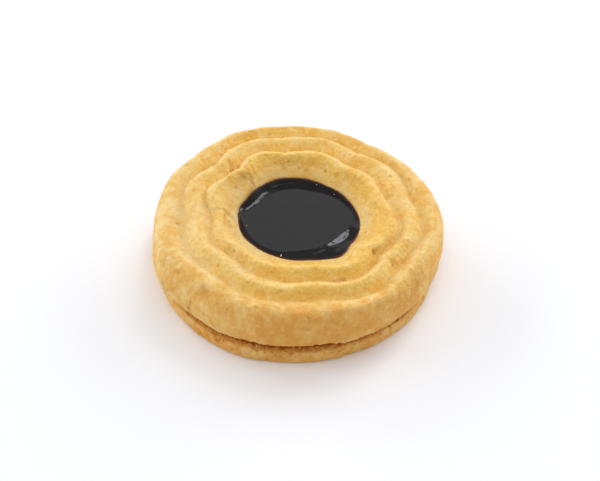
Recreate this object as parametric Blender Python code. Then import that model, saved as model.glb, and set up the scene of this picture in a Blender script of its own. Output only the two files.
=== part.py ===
"""A round filled shortbread cookie: a plain base biscuit, a piped ring with three soft ridges on top
of it, and dark jam in the middle of the ring.

The origin is at the centre of the flat underside, +Z is up, and the front of the cookie faces -Y.
Sizes below are in millimetres and degrees; the meshes are in metres. Directions are counted
anticlockwise from +X, seen from above.
"""

import math

import bmesh
import bpy

MM = 0.001
FIT_GAP = 0.3  # clearance between touching pieces
MERGE_DISTANCE = 0.001  # points closer than this are one point
SHARP_ANGLE = 40.0  # edges that bend more than this are drawn sharp

# Base biscuit: a plain rolled disc with worn edges.
BASE_RADIUS = 28.75
BASE_THICKNESS = 3.2
BASE_SIDES = 108
BASE_EDGE = (  # how far in from the full radius, and how high, up the worn edge
    (0.45, 0.0),
    (0.1, 0.35),
    (0.0, 1.0),
    (0.05, 2.0),
    (0.35, 2.75),
    (1.1, BASE_THICKNESS),
)
BASE_WAVES = ((2, 0.11, 236.0), (5, 0.065, 32.0), (9, 0.055, 0.0))  # lobes, amount, a lobe's place
BASE_LEAN = (0.38, 250.0)  # it reaches furthest towards this direction
BASE_BULGE = (250.0, 14.0, 0.35)  # direction, spread and amount of a place that stands out

# Piped ring: radius and height of each crest and groove across the dough.
HOLE_RADIUS = 12.35
HOLE_EDGE_HEIGHT = 12.2
FUNNEL_TOP = (15.3, 12.9)
INNER_RIDGE = (17.8, 14.9)
INNER_GROOVE = (20.2, 12.95)
MIDDLE_RIDGE = (22.5, 14.4)
OUTER_GROOVE = (24.8, 12.3)
OUTER_RIDGE = (27.1, 13.6)
WALL_RADIUS = 29.6
WALL_BELLY_HEIGHT = 6.6
UNDER_RADIUS = 28.2  # where the rounded wall meets the ring's flat underside
RING_BOTTOM = BASE_THICKNESS + FIT_GAP
RING_STATIONS = 120
RIDGE_STEPS = 5  # points between a groove and the next crest
SHOULDER_STEPS = 8  # points from the outer crest round to the wall's belly
HEEL_STEPS = 5  # and from there round to the underside
GROOVE_SHARPNESS = 0.85  # 0 is a soft wave, 1 is round ridges that meet in a crease

# The rope of dough was piped in strokes. Each row is a bend between two strokes: its direction, the
# radius of the inner ridge there, and how far the stroke up to the next bend swells outwards.
JOINT_DIRECTION = 131.0  # the two ends of the rope meet at this bend
BENDS = (
    (12.0, 17.0, 0.6),
    (57.0, 16.4, 1.1),
    (98.0, 18.4, 1.5),
    (JOINT_DIRECTION, 16.9, 1.8),
    (180.0, 17.1, 0.2),
    (222.0, 16.7, 0.4),
    (283.0, 16.9, 1.8),
    (322.0, 17.7, 1.0),
)
# How closely the dough follows those bends, from the hole's edge out to the wall.
FOLLOW = ((12.5, 0.1), (17.0, 1.0), (24.8, 0.9), (27.1, 0.45), (29.6, 0.15))
JOINT_SLANT = 0.9  # degrees round, for each millimetre further out
JOINT_SLANT_SPREAD = 30.0  # how far to either side the slant is felt
JOINT_CREASE_DEPTH = 0.55
JOINT_CREASE_SPREAD = 3.2
JOINT_CREASE_REACH = (13.0, 19.0)
# How much of what the wall, the rope's width and the hole do, below, is felt across the dough.
WALL_SHARE = ((24.8, 0.0), (27.1, 0.6), (29.6, 1.0))
NARROWING = ((17.8, 0.0), (24.8, 1.0), (29.0, 0.0))
HOLE_SHARE = ((12.35, 1.0), (16.5, 0.0))
# Stretches, as direction, spread and amount, where the wall stands out and the rope is narrower.
WALL_BULGES = ((10.0, 20.0, 0.85), (110.0, 24.0, 0.85), (148.0, 20.0, 0.9), (201.0, 15.0, 1.0))
NARROW_STRETCH = (180.0, 38.0, 1.0)
HOLE_LEAN = (0.3, 345.0)  # the hole reaches furthest towards this direction
HOLE_OVAL = (0.6, 131.0)  # and is a little longer along this one
HOLE_BULGES = ((150.0, 16.0, -0.75), (205.0, 14.0, 0.3), (255.0, 20.0, -0.3), (313.0, 18.0, 0.7))
# How far each ridge strays from the rope's path, and across which part of the dough that is felt.
INNER_REACH = ((14.5, 0.0), (17.8, 1.0), (20.2, 1.0), (22.5, 0.0))
INNER_SHIFTS = (
    (95.0, 20.0, -1.0),
    (145.0, 16.0, -1.1),
    (183.0, 20.0, -1.1),
    (226.0, 12.0, -0.7),
    (338.0, 22.0, 1.0),
)
MIDDLE_REACH = ((20.2, 0.0), (22.5, 1.0), (24.8, 0.7), (27.1, 0.0))
MIDDLE_SHIFTS = (
    (45.0, 14.0, 0.8),
    (88.0, 12.0, -0.4),
    (178.0, 16.0, -0.7),
    (227.0, 12.0, -1.0),
    (352.0, 18.0, 0.3),
)
OUTER_REACH = ((24.8, 0.2), (27.1, 1.0), (29.6, 0.0))
OUTER_SHIFTS = ((24.0, 12.0, -0.7), (230.0, 12.0, -1.0), (293.0, 26.0, 0.9), (346.0, 14.0, 0.6))
SHIFTS = (
    (INNER_REACH, INNER_SHIFTS),
    (MIDDLE_REACH, MIDDLE_SHIFTS),
    (OUTER_REACH, OUTER_SHIFTS),
)
LIFT_PER_SWELL = 0.13  # the dough rises a little where the rope swells
LIFT_PER_BULGE = 0.35  # and where the wall stands out
# How far the wall's lower lip has lifted off the base, by direction, and up to where that is felt.
SEAM_LIFTS = (
    (242.0, 0.0),
    (250.0, 0.4),
    (260.0, 0.7),
    (267.0, 1.0),
    (276.0, 1.15),
    (281.5, 1.5),
    (287.0, 1.0),
    (293.0, 1.5),
    (302.0, 1.35),
    (310.0, 1.2),
    (318.0, 0.7),
    (328.0, 0.0),
)
LIP_REACH = ((RING_BOTTOM, 1.0), (6.0, 0.0))
LIP_INSIDE = 27.0  # further in than this, the ring lies flat on the base

# Jam: a plug that fills the hole up to its edge.
JAM_LEVEL = 12.0
JAM_ROUNDING = (1.05, 0.35)  # width and drop of the rounded rim of its level top
JAM_ROUNDING_STEPS = 3
JAM_SIDES = 72

COLOURS = {
    "base_biscuit": ((0.55, 0.31, 0.10), 0.8),
    "ridged_ring": ((0.68, 0.43, 0.16), 0.75),
    "jam_filling": ((0.015, 0.008, 0.012), 0.12),
}


def clear_scene():
    """Remove every object, so that the cookie is built in an empty scene."""
    for obj in list(bpy.data.objects):
        bpy.data.objects.remove(obj, do_unlink=True)


def stepped(value, rows):
    """Read a table of (place, amount) rows at a value, in straight lines between the rows."""
    if value <= rows[0][0]:
        return rows[0][1]
    for (low, before), (high, after) in zip(rows, rows[1:]):
        if value <= high:
            return before + (after - before) * (value - low) / (high - low)
    return rows[-1][1]


def leaning(direction, lean, times=1):
    """How far something stands out in a direction, given its (amount, direction of most)."""
    amount, most = lean
    return amount * math.cos(math.radians(times * (direction - most)))


def turn_between(direction, other):
    """The angle from one direction to another, from -180 to 180."""
    return (direction - other + 180) % 360 - 180


def stretch(direction, place):
    """How far a bulge of (direction, spread, amount) stands out in a direction."""
    middle, spread, amount = place
    return amount * math.exp(-((turn_between(direction, middle) / spread) ** 2))


def stretches(direction, places):
    """How far several bulges together stand out in a direction."""
    return sum(stretch(direction, place) for place in places)


def slanted(radius, direction):
    """The direction to read the bends at, so that the rope's joint runs outwards at a slant."""
    near = stretch(direction, (JOINT_DIRECTION, JOINT_SLANT_SPREAD, 1.0))
    return (direction - JOINT_SLANT * near * (radius - INNER_RIDGE[0])) % 360


def inner_ridge_radius(direction):
    """Radius of the inner ridge's crest in a direction, from the rope's bends and swellings."""
    for start, end in zip(BENDS, BENDS[1:] + BENDS[:1]):
        length = (end[0] - start[0]) % 360
        along = (direction - start[0]) % 360
        if along < length:
            share = along / length
            return start[1] + (end[1] - start[1]) * share + start[2] * math.sin(math.pi * share)
    return BENDS[0][1]


def crease(radius, direction):
    """Depth of the short crease where the rope's two ends meet."""
    inner, outer = JOINT_CREASE_REACH
    across = (radius - (inner + outer) / 2) / ((outer - inner) / 2)
    deep = stretch(direction, (JOINT_DIRECTION, JOINT_CREASE_SPREAD, JOINT_CREASE_DEPTH))
    return deep * math.exp(-(across**4))


def lip_lift(radius, height, direction):
    """How far a low point of the wall is lifted by the gap between the ring and the base."""
    if radius <= LIP_INSIDE:
        return 0.0
    return stepped(direction, SEAM_LIFTS) * stepped(height, LIP_REACH)


def ring_point(radius, height, direction):
    """Where a point of the plain cross-section comes in the uneven ring, in one direction."""
    swell = inner_ridge_radius(slanted(radius, direction)) - INNER_RIDGE[0]
    outward = stepped(radius, FOLLOW) * swell
    outward -= stepped(radius, NARROWING) * stretch(direction, NARROW_STRETCH)
    bulge = stepped(radius, WALL_SHARE) * stretches(direction, WALL_BULGES)
    oval = leaning(direction, HOLE_LEAN) + leaning(direction, HOLE_OVAL, times=2)
    oval += stretches(direction, HOLE_BULGES)
    outward += bulge + stepped(radius, HOLE_SHARE) * oval
    for reach, shifts in SHIFTS:
        outward += stepped(radius, reach) * stretches(direction, shifts)
    top = max(0.0, (height - WALL_BELLY_HEIGHT) / (INNER_RIDGE[1] - WALL_BELLY_HEIGHT))
    upward = top * (LIFT_PER_SWELL * swell + LIFT_PER_BULGE * bulge - crease(radius, direction))
    upward += lip_lift(radius, height, direction)
    return radius + outward, height + upward


def base_point(radius, height, direction):
    """Where a point of the disc's cross-section comes in the slightly uneven base."""
    outward = leaning(direction, BASE_LEAN) + stretch(direction, BASE_BULGE)
    for lobes, amount, place in BASE_WAVES:
        outward += leaning(direction, (amount, place), times=lobes)
    return radius * (1 + outward / BASE_RADIUS), height


def jam_point(radius, height, direction):
    """Where a point of the plug's cross-section comes, so that it fits the uneven hole."""
    outer, _ = ring_point(HOLE_RADIUS, HOLE_EDGE_HEIGHT, direction)
    return radius * (outer - FIT_GAP) / (HOLE_RADIUS - FIT_GAP), height


def flank(low, high):
    """Points from a groove (low) up to a crest (high), without the last one."""
    points = []
    for step in range(RIDGE_STEPS):
        share = step / RIDGE_STEPS
        soft = (1 - math.cos(math.pi * share)) / 2
        creased = math.sin(math.pi * share / 2)
        rise = GROOVE_SHARPNESS * creased + (1 - GROOVE_SHARPNESS) * soft
        points.append((low[0] + (high[0] - low[0]) * share, low[1] + (high[1] - low[1]) * rise))
    return points


def descent(high, low):
    """Points from a crest down to a groove, without the last one."""
    rising = flank(low, high) + [high]
    return rising[:0:-1]


def quarter(start, end, steps, level_first):
    """Points along a quarter of an ellipse, without the last one. It leaves the start level when
    level_first is true, and upright when it is not."""
    points = []
    for step in range(steps):
        turn = math.pi / 2 * step / steps
        ahead, late = math.sin(turn), 1 - math.cos(turn)
        run, rise = (ahead, late) if level_first else (late, ahead)
        points.append((start[0] + (end[0] - start[0]) * run, start[1] + (end[1] - start[1]) * rise))
    return points


def ring_section():
    """The ring's cross-section, as a closed loop of (radius, height) from the hole's lower edge up."""
    hole_foot = (HOLE_RADIUS, RING_BOTTOM)
    hole_edge = (HOLE_RADIUS, HOLE_EDGE_HEIGHT)
    belly = (WALL_RADIUS, WALL_BELLY_HEIGHT)
    under = (UNDER_RADIUS, RING_BOTTOM)
    middle_of_bottom = ((HOLE_RADIUS + LIP_INSIDE) / 2, RING_BOTTOM)
    funnel_middle = tuple((a + b) / 2 for a, b in zip(hole_edge, FUNNEL_TOP))
    section = [hole_foot, (HOLE_RADIUS, (RING_BOTTOM + HOLE_EDGE_HEIGHT) / 2), hole_edge, funnel_middle]
    section += flank(FUNNEL_TOP, INNER_RIDGE)
    section += descent(INNER_RIDGE, INNER_GROOVE)
    section += flank(INNER_GROOVE, MIDDLE_RIDGE)
    section += descent(MIDDLE_RIDGE, OUTER_GROOVE)
    section += flank(OUTER_GROOVE, OUTER_RIDGE)
    section += quarter(OUTER_RIDGE, belly, SHOULDER_STEPS, True)
    section += quarter(belly, under, HEEL_STEPS, False)
    section += [under, (LIP_INSIDE, RING_BOTTOM), middle_of_bottom]
    return section


def base_section():
    """The disc's cross-section from the axis below, out round the worn edge, to the axis above."""
    edge = [(BASE_RADIUS - inwards, height) for inwards, height in BASE_EDGE]
    inside = edge[0][0] / 2
    return [(0.0, 0.0), (inside, 0.0)] + edge + [(inside, BASE_THICKNESS), (0.0, BASE_THICKNESS)]


def jam_section():
    """The plug's cross-section from the axis below, up its side, to the axis above."""
    radius = HOLE_RADIUS - FIT_GAP
    width, drop = JAM_ROUNDING
    level = (radius - width, JAM_LEVEL)
    rounding = quarter((radius, JAM_LEVEL - drop), level, JAM_ROUNDING_STEPS, False)
    bottom = [(0.0, RING_BOTTOM), (radius, RING_BOTTOM)]
    return bottom + rounding + [level, (radius / 2, JAM_LEVEL), (0.0, JAM_LEVEL)]


def turned(section, steps, closed, place):
    """Turn a cross-section round the Z axis into a mesh, and move each point with place()."""
    shell = bmesh.new()
    verts = [shell.verts.new((radius * MM, 0.0, height * MM)) for radius, height in section]
    pairs = zip(verts, verts[1:] + verts[:1] if closed else verts[1:])
    edges = [shell.edges.new(pair) for pair in pairs]
    bmesh.ops.spin(
        shell,
        geom=verts + edges,
        cent=(0.0, 0.0, 0.0),
        axis=(0.0, 0.0, 1.0),
        angle=math.tau,
        steps=steps,
        use_merge=True,
    )
    bmesh.ops.remove_doubles(shell, verts=shell.verts, dist=MERGE_DISTANCE * MM)
    for vert in shell.verts:
        radius = math.hypot(vert.co.x, vert.co.y) / MM
        direction = math.degrees(math.atan2(vert.co.y, vert.co.x)) % 360
        radius, height = place(radius, vert.co.z / MM, direction)
        angle = math.radians(direction)
        vert.co = (radius * math.cos(angle) * MM, radius * math.sin(angle) * MM, height * MM)
    bmesh.ops.recalc_face_normals(shell, faces=shell.faces)
    return shell


def add_piece(name, shell):
    """Put a finished bmesh in the scene as a named object with its own material."""
    colour, roughness = COLOURS[name]
    material = bpy.data.materials.new(name)
    material.use_nodes = True
    shader = material.node_tree.nodes["Principled BSDF"]
    shader.inputs["Base Color"].default_value = (*colour, 1.0)
    shader.inputs["Roughness"].default_value = roughness
    shader.inputs["Metallic"].default_value = 0.0
    mesh = bpy.data.meshes.new(name)
    shell.to_mesh(mesh)
    shell.free()
    mesh.materials.append(material)
    mesh.shade_smooth()
    mesh.set_sharp_from_angle(angle=math.radians(SHARP_ANGLE))
    piece = bpy.data.objects.new(name, mesh)
    bpy.context.scene.collection.objects.link(piece)
    return piece


def main():
    clear_scene()
    add_piece("base_biscuit", turned(base_section(), BASE_SIDES, False, base_point))
    add_piece("ridged_ring", turned(ring_section(), RING_STATIONS, True, ring_point))
    add_piece("jam_filling", turned(jam_section(), JAM_SIDES, False, jam_point))


main()
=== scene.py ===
"""The looks of a round filled shortbread cookie, laid out as an add-on.

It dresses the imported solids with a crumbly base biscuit, a piped ring with three ridges, dark jam
in the middle and crumbs along the seam, and it sets a pale floor with soft studio light.

Settings hold lengths in metres, as Blender does. The shaping below works in millimetres and in
degrees counted anticlockwise from +X, seen from above; the front of the cookie faces -Y.
"""

import math
import random

import bmesh
import bpy
from bpy.props import FloatProperty, FloatVectorProperty, IntProperty, PointerProperty
from mathutils import Matrix, Quaternion, Vector, kdtree, noise


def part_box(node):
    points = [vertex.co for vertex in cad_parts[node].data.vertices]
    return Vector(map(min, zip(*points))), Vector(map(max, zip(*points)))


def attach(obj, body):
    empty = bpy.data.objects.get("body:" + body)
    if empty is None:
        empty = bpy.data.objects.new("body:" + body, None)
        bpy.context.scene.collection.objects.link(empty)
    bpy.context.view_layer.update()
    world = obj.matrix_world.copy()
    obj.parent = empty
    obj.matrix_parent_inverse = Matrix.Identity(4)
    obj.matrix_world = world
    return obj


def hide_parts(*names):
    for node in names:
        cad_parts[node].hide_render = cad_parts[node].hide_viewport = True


bl_info = {
    "name": "Filled Shortbread Cookie",
    "version": (1, 0, 0),
    "blender": (4, 5, 0),
    "location": "View3D > Sidebar > Cookie",
    "description": "Builds a piped shortbread cookie with a jam middle over its packed solids",
    "category": "Object",
}

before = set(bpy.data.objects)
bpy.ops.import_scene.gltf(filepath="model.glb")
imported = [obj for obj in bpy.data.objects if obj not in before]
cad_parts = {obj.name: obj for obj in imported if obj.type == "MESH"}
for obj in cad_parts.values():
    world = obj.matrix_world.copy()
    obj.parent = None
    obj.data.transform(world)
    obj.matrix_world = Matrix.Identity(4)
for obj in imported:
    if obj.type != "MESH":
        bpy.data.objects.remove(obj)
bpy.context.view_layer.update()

MM = 0.001
BODY = "root"

# The piped rope of dough. Each row is a bend between two strokes of the nozzle: its direction, the
# radius of the inner ridge there, and how far the stroke up to the next bend swells outwards.
JOINT_DIRECTION = 131.0  # the two ends of the rope meet at this bend
BENDS = (
    (12, 17, 0.6), (57, 16.4, 1.1), (98, 18.4, 1.5), (JOINT_DIRECTION, 16.9, 1.8),
    (180, 17.1, 0.2), (222, 16.7, 0.4), (283, 16.9, 1.8), (322, 17.7, 1),
)
# How closely the dough follows those bends, from the hole's edge out to the wall.
FOLLOW = ((12.5, 0.1), (17, 1), (24.8, 0.9), (27.1, 0.45), (29.6, 0.15))
JOINT_SLANT = 0.9  # degrees round, for each millimetre further out
JOINT_SLANT_SPREAD = 30.0
# How much of what the wall, the rope's width and the hole do, below, is felt across the dough.
WALL_SHARE = ((24.8, 0), (27.1, 0.6), (29.6, 1))
NARROWING = ((17.8, 0), (24.8, 1), (29, 0))
HOLE_SHARE = ((12.35, 1), (16.5, 0))
# Stretches, as direction, spread and amount, where the wall stands out and the rope is narrower.
WALL_BULGES = ((10, 20, 0.85), (110, 24, 0.85), (148, 20, 0.9), (201, 15, 1))
NARROW_STRETCH = (180, 38, 1)
HOLE_LEAN = (0.3, 345)  # the hole reaches furthest towards this direction
HOLE_OVAL = (0.6, 131)  # and is a little longer along this one
HOLE_BULGES = (
    (75, 28, -0.3), (117, 13, -0.3), (147, 16, -0.85), (205, 16, 0.45), (232, 14, 0.3),
    (255, 18, -0.1), (282, 14, -0.4), (311, 16, 0.8), (321, 6, -0.4),
)
# How far each ridge and groove strays from the rope's path: across which part of the dough that
# is felt, by radius, and its stretches.
SHIFTS = (
    # The inner, the middle and the outer ridge.
    (
        ((14.5, 0), (17.8, 1), (20.2, 1), (22.5, 0)),
        ((95, 20, -1), (145, 16, -1.1), (182, 17, -1.9), (226, 12, -0.7), (338, 22, 1)),
    ),
    (
        ((20.2, 0), (22.5, 1), (24.8, 0.7), (27.1, 0)),
        ((45, 14, 0.8), (88, 12, -0.4), (178, 16, -0.7), (227, 12, -1), (352, 18, 0.3)),
    ),
    (
        ((24.8, 0.2), (27.1, 1), (29.6, 0)),
        ((24, 12, -0.7), (230, 12, -1), (264, 20, 0.4), (293, 26, 0.9), (303, 13, 0.7),
         (346, 14, 0.6)),
    ),
    # The bottoms of the inner and the outer groove alone.
    (
        ((18.4, 0), (20.3, 1), (21.9, 0)),
        ((225, 26, -0.7), (278, 20, -0.4), (329, 14, -1.1)),
    ),
    (
        ((23.2, 0), (25, 1), (26.6, 0)),
        ((32, 14, 0.9), (150, 16, 0.5), (262, 24, -0.3), (330, 14, -0.6)),
    ),
)
# The shoulder below the outer ridge is rounder at the front.
SHOULDER_REACH = ((26.3, 0), (27.1, 0.4), (28.3, 1), (29, 1), (29.6, 0))
SHOULDER_SHIFT = (275, 46, 0.5)
SHOULDER_FULL = 3.0  # it is felt in full a third of the way up from the belly
# Stretches where a part of the dough, given by radius, lies higher or lower.
FUNNEL_PART = ((13.4, 0), (15.3, 1), (16.6, 0.6), (17.8, 0))
INNER_GROOVE_PART = ((18.9, 0), (20.3, 1), (21.6, 0))
OUTER_GROOVE_PART = ((23.6, 0), (25, 1), (26.3, 0))
INNER_RIDGE_PART = ((15, 0), (17, 1), (18.6, 1), (19.8, 0))
OUTER_RIDGE_PART = ((26.3, 0), (27.1, 1), (28.2, 0))
LIFTS = (
    (FUNNEL_PART, (85, 45, 0.35)),
    (INNER_GROOVE_PART, (245, 42, 0.3)),
    (INNER_GROOVE_PART, (104, 26, -0.35)),
    (OUTER_GROOVE_PART, (262, 40, 0.35)),
    (OUTER_GROOVE_PART, (150, 22, -0.3)),
    (INNER_RIDGE_PART, (181, 15, -0.45)),
    (OUTER_RIDGE_PART, (285, 40, -0.25)),
)
LIFT_PER_SWELL = 0.13  # the dough rises a little where the rope swells
LIFT_PER_BULGE = 0.35  # and where the wall stands out
# How far the ring's lower lip has lifted off the base, by direction, and how high that is felt.
SEAM_LIFTS = (
    (242, 0), (250, 0.4), (260, 0.7), (267, 1), (276, 1.15), (281.5, 1.5), (287, 1), (293, 1.5),
    (302, 1.35), (310, 1.2), (318, 0.7), (328, 0),
)
LIP_RAGS = ((2.2, 0.4), (0.8, 0.3))  # size and depth of its ragged edge
LIP_RAG_PATH = (29.0, 1.0)  # radius and height of the circle that the noise is read along
LIP_RAG_BIAS = 0.2
LIP_REACH = ((3.5, 1), (6, 0))
LIP_INSIDE = ((26.3, 0), (27.3, 1))  # further in than this, the ring lies on the base

# The base biscuit's outline.
BASE_WAVES = ((2, 0.11, 236), (5, 0.065, 32), (9, 0.055, 0))  # lobes, amount, a lobe's place
BASE_LEAN = (0.38, 250)
BASE_BULGE = (250, 14, 0.35)


def mm(value):
    """A setting in metres, in millimetres."""
    return value / MM


def held(value):
    """A value held between 0 and 1."""
    return min(1.0, max(0.0, value))


def stepped(value, rows):
    """Read a table of (place, amount) rows at a value, in straight lines between the rows."""
    if value <= rows[0][0]:
        return rows[0][1]
    for (low, before), (high, after) in zip(rows, rows[1:]):
        if value <= high:
            return before + (after - before) * (value - low) / (high - low)
    return rows[-1][1]


def curved(value, rows):
    """Read a table of (place, amount) rows at a value, along a smooth curve through the rows."""
    if not rows[0][0] < value < rows[-1][0]:
        return stepped(value, rows)
    index = next(i for i, row in enumerate(rows) if row[0] >= value)
    before, (low, start), (high, end), after = (
        rows[min(len(rows) - 1, max(0, index + step))] for step in (-2, -1, 0, 1)
    )
    reach = high - low
    leaving = (end - before[1]) / (high - before[0]) * reach
    arriving = (after[1] - start) / (after[0] - low) * reach
    share = (value - low) / reach
    square, cube = share**2, share**3
    eased = 3 * square - 2 * cube
    bend = (cube - 2 * square + share) * leaving + (cube - square) * arriving
    return start + (end - start) * eased + bend


def leaning(direction, lean, times=1):
    """How far something stands out in a direction, given its (amount, direction of most)."""
    amount, most = lean
    return amount * math.cos(math.radians(times * (direction - most)))


def turn_between(direction, other):
    """The angle from one direction to another, from -180 to 180."""
    return (direction - other + 180) % 360 - 180


def stretch(direction, place):
    """How far a bulge of (direction, spread, amount) stands out in a direction."""
    middle, spread, amount = place
    return amount * math.exp(-((turn_between(direction, middle) / spread) ** 2))


def stretches(direction, places):
    """How far several bulges together stand out in a direction."""
    return sum(stretch(direction, place) for place in places)


def lip_lift(radius, height, direction):
    """How far a low point of the ring's wall is lifted by the gap at the seam."""
    lift = stepped(direction, SEAM_LIFTS)
    for size, amount in LIP_RAGS:
        ragged = noise.noise(at(direction, *LIP_RAG_PATH) / size)
        lift += amount * max(0.0, LIP_RAG_BIAS + ragged)
    return lift * stepped(height, LIP_REACH) * stepped(radius, LIP_INSIDE)


def at(direction, radius, height):
    """The point in millimetres at a direction, radius and height."""
    angle = math.radians(direction)
    return Vector((radius * math.cos(angle), radius * math.sin(angle), height))


# ---------- Settings


def length(name, about, millimetres):
    """A property that holds a length."""
    return FloatProperty(
        name=name, description=about, default=millimetres * MM, unit="LENGTH", precision=5
    )


def place(name, about, radius, height):
    """A property that holds the radius and the height of a point on the cross-section."""
    return FloatVectorProperty(
        name=name, description=about, size=2, default=(radius * MM, height * MM), unit="LENGTH"
    )


def colour(name, about, red, green, blue):
    """A property that holds a colour."""
    return FloatVectorProperty(
        name=name, description=about, default=(red, green, blue), subtype="COLOR", min=0.0, max=1.0
    )


class RingSettings(bpy.types.PropertyGroup):
    """Sizes of the piped ring: radius and height of each crest and groove across the dough."""

    hole_edge: place("Hole edge", "Upper edge of the opening for the jam", 12.35, 12.2)
    funnel_top: place("Funnel top", "Where the inner slope meets the inner ridge", 15.3, 12.9)
    inner_ridge: place("Inner ridge", "Crest of the inner ridge", 17.8, 14.9)
    inner_groove: place("Inner groove", "Bottom of the groove outside it", 20.3, 12.8)
    middle_ridge: place("Middle ridge", "Crest of the middle ridge", 22.5, 14.4)
    outer_groove: place("Outer groove", "Bottom of the groove outside it", 25.0, 12.15)
    outer_ridge: place("Outer ridge", "Crest of the outer ridge", 27.1, 13.6)
    belly: place("Belly", "Where the wall stands out furthest", 29.6, 6.6)
    lip: place("Lip", "Lower edge of the wall, above the base", 28.25, 3.4)
    recess: place("Recess", "Innermost place of the undercut behind the lip", 26.4, 3.35)
    under_radius: length("Under radius", "Where the flat underside begins", 26.2)
    stations: IntProperty(name="Stations", description="Steps round the ring", default=720)
    pits: IntProperty(name="Pits", description="Small random holes in the crust", default=420)
    beads: IntProperty(name="Beads", description="Small random grains on the crust", default=700)


class BaseSettings(bpy.types.PropertyGroup):
    """Sizes of the base biscuit."""

    radius: length("Radius", "Mean radius of the disc", 28.75)
    stations: IntProperty(name="Stations", description="Steps round the disc", default=720)
    pits: IntProperty(name="Pits", description="Crumbs missing from its edge", default=260)
    crumbs: IntProperty(name="Crumbs", description="Loose-looking crumbs at the seam", default=560)


class JamSettings(bpy.types.PropertyGroup):
    """Sizes and colours of the jam."""

    rim_slope: FloatProperty(name="Rim slope", description="Rise of the rim per run", default=0.12)
    rim_softness: length("Rim softness", "Radius of the bend where the rim begins", 0.25)
    stations: IntProperty(name="Stations", description="Steps round the jam", default=480)
    body: colour("Body", "Colour of the thick jam", 0.0035, 0.0030, 0.0032)
    cloudy: colour("Cloudy", "Colour where the jam is a little cloudy", 0.006, 0.004, 0.004)
    thin: colour("Thin edge", "Colour where the jam is thin over the dough", 0.075, 0.012, 0.004)


class DoughSettings(bpy.types.PropertyGroup):
    """Colours of the baked dough."""

    pale: colour("Pale", "Paler dough", 0.88, 0.69, 0.335)
    gold: colour("Gold", "Golden dough", 0.90, 0.565, 0.118)
    wall: colour("Wall", "Browner dough on the outer wall", 0.76, 0.37, 0.075)
    # This brown is also used as painted shade in pits, creases, cracks and the seam.
    brown: colour("Brown", "Toasted spots, pits and cracks", 0.56, 0.21, 0.02)
    cream: colour("Cream", "Pale flakes and grains", 0.92, 0.76, 0.46)
    # This colour paints the jam's stain along the hole's edge, and also the painted shade over the
    # slope round the jam.
    stain_and_shade: colour("Stain", "Dough that the jam has soaked", 0.07, 0.014, 0.005)


class StageSettings(bpy.types.PropertyGroup):
    """The floor, the lights and the camera."""

    floor_colour: colour("Floor", "Colour of the floor", 0.92, 0.92, 0.93)
    room: colour("Room", "Light of the room all round", 0.30, 0.30, 0.305)
    elevation: FloatProperty(
        name="Camera elevation",
        description="Angle that the camera looks down at",
        default=math.radians(43.0),
        subtype="ANGLE",
    )
    distance: FloatProperty(
        name="Camera distance",
        description="From the camera to the middle of the cookie",
        default=0.345,
        unit="LENGTH",
    )
    lens: FloatProperty(
        name="Lens", description="Focal length", default=99.98, unit="CAMERA"
    )


# ---------- Shapes

RUN = "run"  # how far along the cross-section a point lies
FLOW = "flow"
FLOW_RADIUS = 24.0  # the streaks are as wide as given at this radius
SWAYS = ((5, 0.3), (2.4, 0.05))  # size and amount
NOISE_APART = 17.0  # the noises of two sizes are read this far apart
MERGE_DISTANCE = 1e-4

HOLE_STEPS = 3
FUNNEL_STEPS = 12
RIDGE_STEPS = 13  # points between a groove and the next crest
SHOULDER_STEPS = 29
HEEL_STEPS = 13
RECESS_STEPS = 6
UNDER_STEPS = 2
GROOVE_SHARPNESS = 0.85  # 0 is a soft wave, 1 is round ridges that meet in a crease


def flank(low, high):
    """Points from a groove (low) up to a crest (high), without the last one."""
    points = []
    for step in range(RIDGE_STEPS):
        share = step / RIDGE_STEPS
        soft = (1 - math.cos(math.pi * share)) / 2
        creased = math.sin(math.pi * share / 2)
        rise = GROOVE_SHARPNESS * creased + (1 - GROOVE_SHARPNESS) * soft
        points.append((low[0] + (high[0] - low[0]) * share, low[1] + (high[1] - low[1]) * rise))
    return points


def descent(high, low):
    """Points from a crest down to a groove, without the last one."""
    rising = flank(low, high) + [high]
    return rising[:0:-1]


def straight(start, end, steps):
    """Evenly spaced points from start to end, without the last one."""
    return [
        tuple(a + (b - a) * step / steps for a, b in zip(start, end)) for step in range(steps)
    ]


def quarter(start, end, steps, level_first):
    """Points along a quarter of an ellipse, without the last one. It leaves the start level when
    level_first is true, and upright when it is not."""
    points = []
    for step in range(steps):
        turn = math.pi / 2 * step / steps
        ahead, late = math.sin(turn), 1 - math.cos(turn)
        run, rise = (ahead, late) if level_first else (late, ahead)
        points.append((start[0] + (end[0] - start[0]) * run, start[1] + (end[1] - start[1]) * rise))
    return points


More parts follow.
